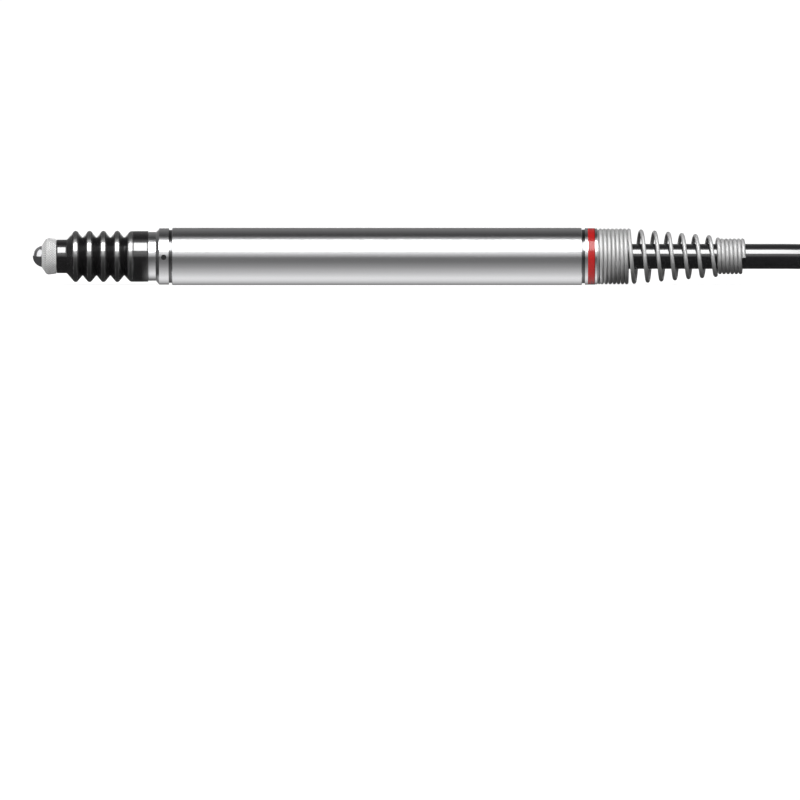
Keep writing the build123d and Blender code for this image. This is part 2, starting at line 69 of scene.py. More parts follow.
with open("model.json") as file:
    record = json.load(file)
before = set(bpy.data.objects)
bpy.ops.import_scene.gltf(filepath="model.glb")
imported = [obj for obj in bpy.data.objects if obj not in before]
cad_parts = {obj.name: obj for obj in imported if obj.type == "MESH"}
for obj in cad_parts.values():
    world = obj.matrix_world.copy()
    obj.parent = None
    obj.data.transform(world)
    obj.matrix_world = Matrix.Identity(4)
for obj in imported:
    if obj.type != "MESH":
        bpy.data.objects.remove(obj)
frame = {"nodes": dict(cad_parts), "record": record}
CAD_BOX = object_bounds()
NODES = frame["nodes"]
MM = 0.001

# Sizes are in millimetres where no other unit is named. A station is a place along X,
# and a radius is measured from the axis of the piece.


class ProbeSizes(bpy.types.PropertyGroup):
    """Sizes that a user may change"""

    cable: bpy.props.FloatProperty(
        name="Cable diameter",
        description="Outside diameter of the jacket",
        default=3.5 * MM,
        min=2 * MM,
        max=4 * MM,
        unit="LENGTH",
    )
    relief_wire: bpy.props.FloatProperty(
        name="Relief spring wire",
        description="Wire diameter of the strain-relief spring",
        default=0.55 * MM,
        min=0.3 * MM,
        max=0.6 * MM,
        unit="LENGTH",
    )
    return_wire: bpy.props.FloatProperty(
        name="Return spring wire",
        description="Wire diameter of the return spring",
        default=0.25 * MM,
        min=0.1 * MM,
        max=0.3 * MM,
        unit="LENGTH",
    )
    knurl_depth: bpy.props.FloatProperty(
        name="Knurl depth",
        description="Depth of the crossed grooves round the tip holder",
        default=0.08 * MM,
        min=0.0,
        max=0.12 * MM,
        unit="LENGTH",
    )
    knurl_teeth: bpy.props.IntProperty(
        name="Knurl teeth",
        description="Number of teeth round the tip holder",
        default=44,
        min=24,
        max=60,
    )


COLOUR = {"subtype": "COLOR", "size": 4, "min": 0.0, "max": 1.0}


class ProbeFinishes(bpy.types.PropertyGroup):
    """Colours that a user may change"""

    steel: bpy.props.FloatVectorProperty(
        name="Steel",
        description="Colour of the ground and turned steel",
        default=(0.62, 0.62, 0.63, 1.0),
        **COLOUR,
    )
    rubber: bpy.props.FloatVectorProperty(
        name="Rubber",
        description="Colour of the bellows and the seals",
        default=(0.007, 0.0065, 0.007, 1.0),
        **COLOUR,
    )
    jacket: bpy.props.FloatVectorProperty(
        name="Cable jacket",
        description="Colour of the cable's jacket",
        default=(0.007, 0.007, 0.008, 1.0),
        **COLOUR,
    )
    ring: bpy.props.FloatVectorProperty(
        name="Marking ring",
        description="Colour of the ring at the rear of the body",
        default=(0.35, 0.012, 0.012, 1.0),
        **COLOUR,
    )


# Shader nodes


def feed(tree, slot, value):
    """Links an input to a socket, or sets it to a plain value."""
    if isinstance(value, bpy.types.NodeSocket):
        tree.links.new(value, slot)
    else:
        slot.default_value = value


def math_node(tree, operation, *values):
    """The result of a math node. Each value is a socket or a number."""
    node = tree.nodes.new("ShaderNodeMath")
    node.operation = operation
    for slot, value in zip(node.inputs, values):
        feed(tree, slot, value)
    return node.outputs[0]


def times(tree, first, second):
    """The product of two values."""
    return math_node(tree, "MULTIPLY", first, second)


def blend(tree, factor, first, second, kind="FLOAT"):
    """Mixes two numbers, or two colours where the kind is RGBA."""
    node = tree.nodes.new("ShaderNodeMix")
    node.data_type = kind
    for label, value in (("Factor", factor), ("A", first), ("B", second)):
        feed(tree, node.inputs[label], value)
    return node.outputs["Result"]


def ramp(tree, value, stops):
    """A value read off a ramp of positions and levels."""
    node = tree.nodes.new("ShaderNodeValToRGB")
    points = node.color_ramp.elements
    while len(points) < len(stops):
        points.new(0.5)
    for point, (position, level) in zip(points, stops):
        point.position = position
        point.color = (level, level, level, 1.0)
    tree.links.new(value, node.inputs["Fac"])
    return node.outputs["Color"]


def object_place(tree):
    """The place of a point on its own object."""
    return tree.nodes.new("ShaderNodeTexCoord").outputs["Object"]


def axes_of(tree, vector):
    """The X, Y and Z of a vector."""
    node = tree.nodes.new("ShaderNodeSeparateXYZ")
    tree.links.new(vector, node.inputs[0])
    return node.outputs


def length_of(tree, vector):
    """The length of a vector."""
    node = tree.nodes.new("ShaderNodeVectorMath")
    node.operation = "LENGTH"
    tree.links.new(vector, node.inputs[0])
    return node.outputs["Value"]


def scaled_noise(tree, place, stretch, scale):
    """Noise on stretched coordinates. The scale is a socket or a number."""
    mapping = tree.nodes.new("ShaderNodeMapping")
    mapping.inputs["Scale"].default_value = stretch
    tree.links.new(place, mapping.inputs["Vector"])
    noise = tree.nodes.new("ShaderNodeTexNoise")
    noise.inputs["Detail"].default_value = 3.0
    tree.links.new(mapping.outputs[0], noise.inputs["Vector"])
    feed(tree, noise.inputs["Scale"], scale)
    return noise.outputs["Fac"]


def varied(tree, noise, amount):
    """Noise as a change of up to half the amount, up or down."""
    return times(tree, math_node(tree, "SUBTRACT", noise, 0.5), amount)


def shade(tree, colour, factor):
    """Multiplies a colour by a value."""
    node = tree.nodes.new("ShaderNodeVectorMath")
    node.operation = "SCALE"
    tree.links.new(colour, node.inputs[0])
    tree.links.new(factor, node.inputs["Scale"])
    return node.outputs[0]


def darkened(tree, colour, mask, strength):
    """Takes that share of a colour's light away where the mask is 1."""
    loss = times(tree, mask, strength)
    return shade(tree, colour, math_node(tree, "SUBTRACT", 1.0, loss))


def marked(tree, attribute):
    """How strongly a mesh is marked with an attribute, from 0 to 1."""
    node = tree.nodes.new("ShaderNodeAttribute")
    node.attribute_name = attribute
    return node.outputs["Fac"]


def camera_and_mirrors(tree):
    """Whether the camera looks at a point, and whether a mirror or a clear piece does."""
    path = tree.nodes.new("ShaderNodeLightPath").outputs
    mirrored = math_node(tree, "MAXIMUM", path["Is Glossy Ray"], path["Is Transmission Ray"])
    return path["Is Camera Ray"], mirrored


# Shared effects, each a shader node group

TINT, NUMBER = "NodeSocketColor", "NodeSocketFloat"
FINISH_OUTPUTS = (("Color", TINT), ("Roughness", NUMBER), ("Height", NUMBER))
# Stretch of a noise, and scales of the slow changes in gloss
EVEN, ROUND_THE_AXIS = (1.0, 1.0, 1.0), (1.0, 0.02, 0.02)
SMUDGE_SCALE, TOUCH_SCALE = 260.0, 350.0


def new_group(name, inputs, outputs=FINISH_OUTPUTS):
    """A group with named sockets. Returns its tree and what it takes in."""
    tree = bpy.data.node_groups.new(name, "ShaderNodeTree")
    for label, kind, default in inputs:
        socket = tree.interface.new_socket(label, in_out="INPUT", socket_type=kind)
        socket.default_value = default
    for label, kind in outputs:
        tree.interface.new_socket(label, in_out="OUTPUT", socket_type=kind)
    return tree, tree.nodes.new("NodeGroupInput").outputs


def put_out(tree, **results):
    """Links what a group puts out. Returns its tree."""
    node = tree.nodes.new("NodeGroupOutput")
    for label, result in results.items():
        tree.links.new(result, node.inputs[label])
    return tree


def tooled_metal_group():
    """Fine marks that run round a turned or ground piece, with smudges in its gloss."""
    tree, taken = new_group(
        "tooled_metal",
        (
            ("Color", TINT, (0.6, 0.6, 0.6, 1.0)),
            ("Roughness", NUMBER, 0.2),
            ("Marks", NUMBER, 4000.0),
            ("Variation", NUMBER, 0.1),
        ),
    )
    place = object_place(tree)
    marks = scaled_noise(tree, place, ROUND_THE_AXIS, taken["Marks"])
    smudge = scaled_noise(tree, place, EVEN, SMUDGE_SCALE)
    spread = varied(tree, smudge, taken["Variation"])
    streak = varied(tree, marks, taken["Variation"])
    change = math_node(tree, "ADD", spread, streak)
    colour = shade(tree, taken["Color"], math_node(tree, "ADD", streak, 1.0))
    roughness = math_node(tree, "ADD", taken["Roughness"], change)
    return put_out(tree, Color=colour, Roughness=roughness, Height=marks)


def soft_polymer_group():
    """Fine grain of moulded rubber or plastic, with a trace of handling in its gloss."""
    tree, taken = new_group(
        "soft_polymer",
        (
            ("Color", TINT, (0.02, 0.02, 0.02, 1.0)),
            ("Roughness", NUMBER, 0.3),
            ("Grain", NUMBER, 9000.0),
            ("Variation", NUMBER, 0.15),
        ),
    )
    place = object_place(tree)
    grain = scaled_noise(tree, place, EVEN, taken["Grain"])
    touch = scaled_noise(tree, place, EVEN, TOUCH_SCALE)
    spread = varied(tree, touch, taken["Variation"])
    tone = math_node(tree, "ADD", times(tree, spread, 2.0), 1.0)
    colour = shade(tree, taken["Color"], tone)
    roughness = math_node(tree, "ADD", taken["Roughness"], spread)
    return put_out(tree, Color=colour, Roughness=roughness, Height=grain)


def recess_group():
    """Masks what lies below a piece's skin between two stations, where painted shade goes."""
    tree, taken = new_group(
        "recess_painted_shade",
        (("Front", NUMBER, 0.0), ("Rear", NUMBER, 0.001), ("Skin Radius", NUMBER, 0.004)),
        (("Mask", NUMBER),),
    )
    place = axes_of(tree, object_place(tree))
    across = tree.nodes.new("ShaderNodeCombineXYZ")
    tree.links.new(place["Y"], across.inputs["Y"])
    tree.links.new(place["Z"], across.inputs["Z"])
    radius = length_of(tree, across.outputs[0])
    behind = math_node(tree, "GREATER_THAN", place["X"], taken["Front"])
    before = math_node(tree, "LESS_THAN", place["X"], taken["Rear"])
    below = math_node(tree, "LESS_THAN", radius, taken["Skin Radius"])
    return put_out(tree, Mask=times(tree, times(tree, behind, before), below))


def woven_group():
    """Crossed threads of a narrow woven strap."""
    tree, taken = new_group(
        "woven_strap",
        (("Color", TINT, (0.03, 0.03, 0.03, 1.0)), ("Thread", NUMBER, 0.0006)),
    )
    waves = []
    for distance in axes_of(tree, object_place(tree)):
        turns = math_node(tree, "DIVIDE", distance, taken["Thread"])
        waves.append(math_node(tree, "SINE", times(tree, turns, 2 * math.pi)))
    across = times(tree, waves[0], math_node(tree, "ADD", waves[1], waves[2]))
    height = math_node(tree, "ADD", times(tree, across, 0.25), 0.5)  # from 0 to 1
    tone = math_node(tree, "ADD", times(tree, height, 0.8), 0.6)
    colour = shade(tree, taken["Color"], tone)
    roughness = math_node(tree, "SUBTRACT", 1.0, times(tree, height, 0.2))
    return put_out(tree, Color=colour, Roughness=roughness, Height=height)


GROUP_MAKERS = {
    "metal": tooled_metal_group,
    "polymer": soft_polymer_group,
    "recess": recess_group,
    "woven": woven_group,
}
GROUPS = {}


def placed(tree, group, values):
    """Puts a shared group into a tree with its own values. Returns what it puts out."""
    if group not in GROUPS:
        GROUPS[group] = GROUP_MAKERS[group]()
    node = tree.nodes.new("ShaderNodeGroup")
    node.node_tree = GROUPS[group]
    for label, value in values.items():
        node.inputs[label].default_value = value
    return node.outputs


# Materials

MATERIALS = {}

# Painted shade: where the steel's grooves, the boss under the spring and a band of the ring
# are darkened. Front station, rear station and radius of the skin around it
STEEL_PAINTED_SHADE = ((-1.6, 0.02, 3.85), (56.98, 57.4, 3.85), (59.32, 63.45, 3.6))
RING_PAINTED_SHADE = ((58.72, 58.9, 5.0),)
# Share of light that painted shade takes away in the recesses and in the knurl's grooves
PAINTED_SHADE_STRENGTH, KNURL_SHADE = 0.82, 0.55
# Grey of the painted sheen on the bellows' crests, which are made metallic there
PAINTED_SHEEN_COLOUR = (0.2, 0.2, 0.2, 1.0)

POLYMER_RELIEF, WOVEN_RELIEF = 3e-6, 8e-5
SHEEN_IOR, SHEEN_ROUGHNESS = 1.85, 0.1


def painted_recess_shade(tree, colour, recesses):
    """Darkens a colour where it lies in one of the recesses, as painted shade."""
    mask = 0.0
    for front, rear, skin in recesses:
        values = {"Front": front * MM, "Rear": rear * MM, "Skin Radius": skin * MM}
        found = placed(tree, "recess", values)["Mask"]
        mask = math_node(tree, "MAXIMUM", mask, found)
    return darkened(tree, colour, mask, PAINTED_SHADE_STRENGTH)


def new_material(name, group, values, relief, recesses=(), cut="", worn="", **constants):
    """Adds a Principled material with the colour, roughness and relief of a shared group.

    The relief is a depth in metres. Cut names the attribute that marks where a piece is cut
    deeper, which is darkened there as painted shade. The sheen attribute marks where a painted
    sheen lies on the piece, in grey and metallic.
    """
    material = bpy.data.materials.new(name)
    material.use_nodes = True
    tree = material.node_tree
    shader = tree.nodes["Principled BSDF"].inputs
    for label, value in constants.items():
        shader[label.replace("_", " ")].default_value = value
    finish = placed(tree, group, values)
    bump = tree.nodes.new("ShaderNodeBump")
    bump.inputs["Distance"].default_value = relief
    tree.links.new(finish["Height"], bump.inputs["Height"])
    colour = finish["Color"]
    # Painted sheen: grey and metallic where the crests are marked
    if worn:
        painted_sheen_mask = marked(tree, worn)
        colour = blend(tree, painted_sheen_mask, colour, PAINTED_SHEEN_COLOUR, kind="RGBA")
        tree.links.new(painted_sheen_mask, shader["Metallic"])
    # Painted shade, darker in the recesses
    if recesses:
        colour = painted_recess_shade(tree, colour, recesses)
    # Painted shade in the knurl's grooves
    if cut:
        colour = darkened(tree, colour, marked(tree, cut), KNURL_SHADE)
    tree.links.new(colour, shader["Base Color"])
    tree.links.new(finish["Roughness"], shader["Roughness"])
    tree.links.new(bump.outputs["Normal"], shader["Normal"])
    MATERIALS[name] = material


def metal(name, colour, roughness, marks=4000.0, variation=0.08, relief=2e-6, level=1.0, **more):
    """Bare or plated metal with tool marks round the X axis. A frosted one has a low level."""
    values = {"Color": colour, "Roughness": roughness, "Marks": marks, "Variation": variation}
    new_material(name, "metal", values, relief, Metallic=level, **more)


def polymer(name, colour, roughness, coat=0.0, ior=1.5, level=0.5, **more):
    """Rubber or plastic, with a clear sheen where it has one."""
    values = {"Color": colour, "Roughness": roughness}
    sheen = {"Coat_Weight": coat, "Coat_Roughness": SHEEN_ROUGHNESS, "Coat_IOR": ior}
    more["Specular_IOR_Level"] = level
    new_material(name, "polymer", values, POLYMER_RELIEF, **sheen, **more)


def make_materials(finishes):
    """One finish for each material slot of the record."""
    frosted, copper = (0.76, 0.76, 0.76, 1.0), (0.60, 0.28, 0.14, 1.0)
    turned = {"marks": 6000.0, "variation": 0.04, "relief": 6e-7}
    sheen = {"coat": 1.0, "ior": SHEEN_IOR, "level": 0.1}
    metal("ground_steel", finishes.steel, 0.2, marks=9000.0, variation=0.02, relief=3e-7)
    metal("turned_steel", finishes.steel, 0.2, **turned, recesses=STEEL_PAINTED_SHADE)
    metal("knurled_steel", frosted, 0.7, variation=0.3, relief=8e-6, cut="knurl", level=0.5)
    metal("ball_steel", (0.85, 0.85, 0.87, 1.0), 0.15, variation=0.02, relief=2e-7)
    metal("spring_steel", (0.64, 0.64, 0.64, 1.0), 0.65, variation=0.15)
    # The bellows' crests carry a painted sheen
    polymer("black_rubber", finishes.rubber, 0.4, **sheen, worn="worn")
    polymer("red_plastic", finishes.ring, 0.2, level=0.3, recesses=RING_PAINTED_SHADE)
    metal("cage_brass", (0.70, 0.52, 0.25, 1.0), 0.25)
    metal("copper_winding", copper, 0.3, marks=5000.0, relief=2e-5)
    metal("magnetic_alloy", (0.42, 0.42, 0.43, 1.0), 0.4)
    polymer("bobbin_plastic", (0.05, 0.05, 0.05, 1.0), 0.5)
    polymer("board_laminate", (0.05, 0.22, 0.10, 1.0), 0.45)
    polymer("lead_insulation", (0.55, 0.55, 0.50, 1.0), 0.45)
    metal("tinned_copper", (0.75, 0.73, 0.70, 1.0), 0.3)
    polymer("cable_jacket", finishes.jacket, 0.5, **sheen)
    metal("plug_nickel", (0.72, 0.71, 0.69, 1.0), 0.38, level=0.85)
    metal("contact_gold", (0.80, 0.60, 0.28, 1.0), 0.2)
    polymer("insert_plastic", (0.03, 0.03, 0.03, 1.0), 0.5)
    new_material("tie_fabric", "woven", {"Color": (0.03, 0.03, 0.03, 1.0)}, WOVEN_RELIEF)


# Objects and meshes


def add_object(name, data):
    """A new object in the scene."""
    item = bpy.data.objects.new(name, data)
    bpy.context.scene.collection.objects.link(item)
    return item


def cos_sin(degrees):
    """The cosine and the sine of an angle."""
    angle = math.radians(degrees)
    return math.cos(angle), math.sin(angle)


def around(station, radius, angle, centre=(0.0, 0.0)):
    """A point on a circle about an axis along X, in metres."""
    y = centre[0] + radius * math.cos(angle)
    z = centre[1] + radius * math.sin(angle)
    return station * MM, y * MM, z * MM


def swept(rows, closed):
    """Faces between rows of points. The run closes on itself, or has a cap at each end."""
    shape = bmesh.new()
    grid = [[shape.verts.new(point) for point in row] for row in rows]
    count = len(grid)
    for k in range(count if closed else count - 1):
        here, after = grid[k], grid[(k + 1) % count]
        for j in range(len(here)):
            i = (j + 1) % len(here)
            shape.faces.new((here[j], here[i], after[i], after[j]))
    if not closed:
        shape.faces.new(grid[0])
        shape.faces.new(grid[-1])
    return shape


def mesh_object(name, shape, slot, sharp):
    """Makes a bmesh a finished piece. Edges bent by more than sharp degrees stay crisp."""
    bmesh.ops.remove_doubles(shape, verts=shape.verts, dist=1e-7)
    bmesh.ops.recalc_face_normals(shape, faces=shape.faces)
    mesh = bpy.data.meshes.new(name)
    shape.to_mesh(mesh)
    shape.free()
    mesh.polygons.foreach_set("use_smooth", [True] * len(mesh.polygons))
    mesh.set_sharp_from_angle(angle=math.radians(sharp))
    mesh.materials.append(MATERIALS[slot])
    piece = add_object(name, mesh)
    return piece


def lathe(name, profile, slot, sharp, segments=128, centre=(0.0, 0.0)):
    """A turned piece. Its profile is a closed line of stations and radii."""
    turns = [2 * math.pi * k / segments for k in range(segments)]
    rows = [[around(x, r, turn, centre) for x, r in profile] for turn in turns]
    return mesh_object(name, swept(rows, True), slot, sharp)


def rounded(corners, bends, steps=3):
    """Rounds the inner corners of an open line. Each bend takes at most 45% of an edge."""
    line = [corners[0]]
    for before, corner, after, bend in zip(corners, corners[1:], corners[2:], bends[1:]):
        here = Vector(corner)
        back, on = Vector(before) - here, Vector(after) - here
        reach = min(bend, back.length * 0.45, on.length * 0.45)
        start, stop = here + back.normalized() * reach, here + on.normalized() * reach
        for k in range(steps + 1):
            t = k / steps
            line.append(tuple(start * (1 - t) ** 2 + here * 2 * t * (1 - t) + stop * t**2))
    line.append(corners[-1])
    return line


# The stage. Its ramps are pairs of a position and a level.

CAMERA_AIM, VIEW_WIDTH = (31.7, 0.0, -20.0), 111.3
CAMERA_RISE, CAMERA_DISTANCE = 2.5, 2.0  # degrees, metres

# Softboxes: turn and rise in degrees from straight in front, width and height in metres,
# and radiance. The first one has two dim frames, which soften its edges in polished steel.
LAMP_AIM, LAMP_DISTANCE = 24, 0.5  # millimetres, metres
SOFTBOXES = (
    ("softbox", 0.0, 46.5, 0.18, 0.355, 10.0),
    ("softbox_rim", 0.0, 42.0, 0.18, 0.6, 0.5),
    ("softbox_haze", 0.0, 43.0, 0.18, 0.86, 0.35),
    ("left_softbox", -54.0, 33.0, 0.5, 0.64, 0.85),
    ("right_softbox", 54.0, 33.0, 0.5, 0.64, 0.85),
    ("back_softbox", 180.0, 8.5, 1.2, 0.14, 0.9),
)

# The room from the horizon up, in itself and in mirrors, where it fades to the sides
ROOM = ((0.0, 0.22), (0.6, 0.22), (0.98, 0.15))
MIRRORED_ROOM = ((0.0, 0.36), (0.3, 0.24), (0.7, 0.26), (0.92, 0.14), (0.99, 0.06))
SIDE_FADE = 0.65

FLOOR_REACH = 30.0  # metres
FLOOR_COLOUR = (0.8, 0.8, 0.8, 1.0)
# What mirrors see on the floor: a pool of light beside the body, by the distance from the
# axis, and a paler floor further off. Past the body's ends they see a share of the latter.
POOL_REACH, POOL_LEVEL = 20, 1.2
POOL = (
    (0.03, 0.18), (0.1, 0.9), (0.13, 1.0), (0.17, 0.8),
    (0.22, 0.6), (0.34, 0.36), (0.55, 0.22), (1.0, 0.17),
)
POOL_MIDDLE, POOL_LENGTH, POOL_ENDS = 28.0, 50, ((0.62, 1.0), (0.645, 0.0))
FAR_REACH, FAR_FLOOR, FAR_SHARE = 500, ((0.06, 0.22), (1.0, 0.36)), 0.3
# What the camera sees there: a share of even white, by the distance in metres, and the rest
# is the plain floor, which takes the shadow
SEEN_FLOOR, SEEN_LEVEL, SEEN_SHARE = ((0.12, 0.9), (0.4, 1.0)), 1.45, 0.7


class ProbeStage(bpy.types.Operator):
    """Set the camera, the lamps, the surroundings and the floor"""

    bl_idname = "probe.stage"
    bl_label = "Stage"

    def execute(self, context):
        scene = context.scene
        scene.view_settings.view_transform = "Standard"
        scene.camera = self.camera()
        for softbox in SOFTBOXES:
            self.lamp(*softbox)
        scene.world = self.surroundings()
        self.floor()
        return {"FINISHED"}

    def camera(self):
        """A long lens, square to the probe and a little above it."""
        level, up = cos_sin(CAMERA_RISE)
        back = Vector((0.0, -level, up))
        lens = bpy.data.cameras.new("camera")
        lens.lens = lens.sensor_width * CAMERA_DISTANCE / (VIEW_WIDTH * MM)
        lens.clip_start, lens.clip_end = 0.1, 100.0
        camera = add_object("camera", lens)
        camera.location = Vector(CAMERA_AIM) * MM + back * CAMERA_DISTANCE
        camera.rotation_mode = "QUATERNION"
        camera.rotation_quaternion = (-back).to_track_quat("-Z", "Y")
        return camera

    def lamp(self, name, turn, rise, width, height, radiance):
        """A softbox that faces the probe."""
        light = bpy.data.lights.new(name, "AREA")
        light.shape = "RECTANGLE"
        light.size, light.size_y = width, height
        light.energy = math.pi * width * height * radiance
        lamp = add_object(name, light)
        (ahead, aside), (level, up) = cos_sin(turn), cos_sin(rise)
        out = Vector((aside * level, -ahead * level, up))
        lamp.location = Vector((LAMP_AIM * MM, 0.0, 0.0)) + out * LAMP_DISTANCE
        lamp.rotation_mode = "QUATERNION"
        lamp.rotation_quaternion = out.to_track_quat("Z", "Y")
        lamp.visible_camera = False

    def surroundings(self):
        """A dim room with a dark ceiling, white to the camera and paler in mirrors low down."""
        world = bpy.data.worlds.new("room")
        world.use_nodes = True
        tree = world.node_tree
        way = axes_of(tree, tree.nodes.new("ShaderNodeTexCoord").outputs["Generated"])
        dim = ramp(tree, way["Z"], ROOM)
        pale = ramp(tree, way["Z"], MIRRORED_ROOM)
        fade = times(tree, times(tree, way["X"], way["X"]), SIDE_FADE)
        pale = times(tree, pale, math_node(tree, "SUBTRACT", 1.0, fade))
        seen, mirrored = camera_and_mirrors(tree)
        white = blend(tree, seen, blend(tree, mirrored, dim, pale), 1.0)
        tree.links.new(white, tree.nodes["Background"].inputs["Color"])
        return world

    def floor(self):
        """A pale surface that the probe lies on, which keeps its shadow."""
        low, far = CAD_BOX[0].z, FLOOR_REACH
        mesh = bpy.data.meshes.new("floor")
        corners = [(-far, -far, low), (far, -far, low), (far, far, low), (-far, far, low)]
        mesh.from_pydata(corners, [], [(0, 1, 2, 3)])
        ground = add_object("floor", mesh)
        material = bpy.data.materials.new("pale_floor")
        material.use_nodes = True
        mesh.materials.append(material)
        tree = material.node_tree
        tree.nodes.remove(tree.nodes["Principled BSDF"])
        matte = tree.nodes.new("ShaderNodeBsdfDiffuse")
        matte.inputs["Color"].default_value = FLOOR_COLOUR
        white = tree.nodes.new("ShaderNodeEmission")
        place = object_place(tree)
        seen, mirrored = camera_and_mirrors(tree)
        plain, pool = self.seen_floor(tree, place), self.mirrored_floor(tree, place)
        tree.links.new(blend(tree, mirrored, plain, pool), white.inputs["Strength"])
        share = times(tree, seen, SEEN_SHARE)
        mix = tree.nodes.new("ShaderNodeMixShader")
        tree.links.new(math_node(tree, "MAXIMUM", share, mirrored), mix.inputs["Fac"])
        tree.links.new(matte.outputs[0], mix.inputs[1])
        tree.links.new(white.outputs[0], mix.inputs[2])
        tree.links.new(mix.outputs[0], tree.nodes["Material Output"].inputs["Surface"])

    def seen_floor(self, tree, place):
        """How bright the floor is to the camera."""
        even = ramp(tree, length_of(tree, place), SEEN_FLOOR)
        return times(tree, even, SEEN_LEVEL)

    def mirrored_floor(self, tree, place):
        """How bright the floor is in mirrors, brightest beside the body."""

        def ramp_over(distance, reach, stops):
            return ramp(tree, math_node(tree, "DIVIDE", distance, reach * MM), stops)

        axes = axes_of(tree, place)
        away = math_node(tree, "ABSOLUTE", axes["Y"])
        along = math_node(tree, "SUBTRACT", axes["X"], POOL_MIDDLE * MM)
        beside = ramp_over(math_node(tree, "ABSOLUTE", along), POOL_LENGTH, POOL_ENDS)
        pool = times(tree, ramp_over(away, POOL_REACH, POOL), POOL_LEVEL)
        far = ramp_over(away, FAR_REACH, FAR_FLOOR)
        outside = times(tree, far, FAR_SHARE)
        return blend(tree, beside, outside, math_node(tree, "MAXIMUM", pool, far))


class ProbeFinish(bpy.types.Operator):
    """Give every CAD node the finish of its material slot"""

    bl_idname = "probe.finish"
    bl_label = "Finishes"

    def execute(self, context):
        make_materials(context.scene.probe_finishes)
        for row in frame["record"]["subparts"]:
            mesh = NODES[row["node"]].data
            mesh.materials.clear()
            mesh.materials.append(MATERIALS[row["material_slot"]])
        return {"FINISHED"}


# The cable, its hank, its strap and its plug's boot

# The free cable's route and its tail's, as the CAD source has them
CABLE_ROUTE = ((53.8, 0, 0), (77.7, 0, 0), (93.0, 0, 0), (108.25, 0, -1.75))
TAIL_ROUTE = (
    (172.25, 27.5, -1.75), (165.2, 27.5, -1.6), (159.0, 24.4, -0.3),
    (154.8, 18.8, 2.0), (148.6, 15.5, 3.5), (141.6, 15.5, 3.5),
)
# The hank's ends, its middle, the heights of its layers and the radii of its folds
HANK_WEST, HANK_EAST, HANK_Y = 108.25, 172.25, 15.5
HANK_LAYERS = (-1.75, 1.75, 5.25, 8.75, 12.25)
OUTER_FOLD, INNER_FOLD = 15.5, 12.0
FOLD_POINTS = 6
HALF_STEP = 90 / FOLD_POINTS  # degrees
# Stations between which a run climbs a layer, crosses to the inner turns or drops a layer
CLIMB, CROSSING, DROP = (128.0, 119.0), (144.0, 134.0), (157.0, 147.0)

# The strap: thickness, radius and steps of its bends, and bevel of its edges
STRAP_THICK, STRAP_BEND, BEND_STEPS, STRAP_BEVEL = 0.5, 1.7, 8, 0.1
# How far its first end lies behind its middle and its free end before it, the gap where they
# lie on each other, and the climb over the first end: distance from it, share of the climb
STRAP_START, STRAP_END, STRAP_GAP = 4.0, 8.0, 0.02
STRAP_CLIMB = ((3.6, 0.0), (2.8, 0.1), (1.2, 0.9), (0.4, 1.0))

# The boot: bore, radii of its stem and its thin end, lengths of its stem and its cuff, how
# much the cuff narrows, its ribs, its plain end and the rounding of its corners
BOOT_BORE, STEM_RADIUS, END_RADIUS = 1.77, 3.0, 2.6
STEM, CUFF, CUFF_TAPER = 5.0, 2.0, 0.1
RIBS, RIB_GAP, PLAIN_END, BOOT_ROUNDING = 5, 0.4, 0.6, 0.12
# A rib: share of its pitch, and height over the line of the crests
RIB = ((0.0, -0.4), (0.35, -0.4), (0.5, 0.0), (0.9, 0.0))


def fold(east, radius, z):
    """Control points of a half turn at one end, each where two tangents of its circle meet."""
    centre, side = (HANK_EAST, 1) if east else (HANK_WEST, -1)
    reach = radius / math.cos(math.radians(HALF_STEP))
    points = []
    for k in range(FOLD_POINTS):
        across, out = cos_sin(HALF_STEP * (2 * k + 1))
        points.append((centre + side * reach * out, HANK_Y - side * reach * across, z))
    return points


def cable_points():
    """Control points of the whole cable: the free run, the wound turns and the tail."""
    points = list(CABLE_ROUTE)
    tangent = math.tan(math.radians(HALF_STEP))
    outer, inner = OUTER_FOLD * tangent, INNER_FOLD * tangent
    south, north = HANK_Y - OUTER_FOLD, HANK_Y + OUTER_FOLD
    top = len(HANK_LAYERS) - 1
    for layer, z in enumerate(HANK_LAYERS):
        if layer:
            points.append((HANK_WEST + outer, south, z))
        points.append((HANK_EAST - outer, south, z))
        points += fold(True, OUTER_FOLD, z)
        points.append((HANK_EAST - outer, north, z))
        if layer < top:
            after = HANK_LAYERS[layer + 1]
            points += [(CLIMB[0], north, z), (CLIMB[1], north, after)]
            points.append((HANK_WEST + outer, north, after))
            points += fold(False, OUTER_FOLD, after)
    south, inner_north = HANK_Y - INNER_FOLD, HANK_Y + INNER_FOLD
    high = HANK_LAYERS[top]
    points += [(CROSSING[0], north, high), (CROSSING[1], inner_north, high)]
    for layer in range(top, -1, -1):
        z = HANK_LAYERS[layer]
        points.append((HANK_WEST + inner, inner_north, z))
        points += fold(False, INNER_FOLD, z)
        points += [(HANK_WEST + inner, south, z), (HANK_EAST - inner, south, z)]
        points += fold(True, INNER_FOLD, z)
        if layer:
            below = HANK_LAYERS[layer - 1]
            points.append((HANK_EAST - inner, inner_north, z))
            points += [(DROP[0], inner_north, z), (DROP[1], inner_north, below)]
    return points + list(TAIL_ROUTE)


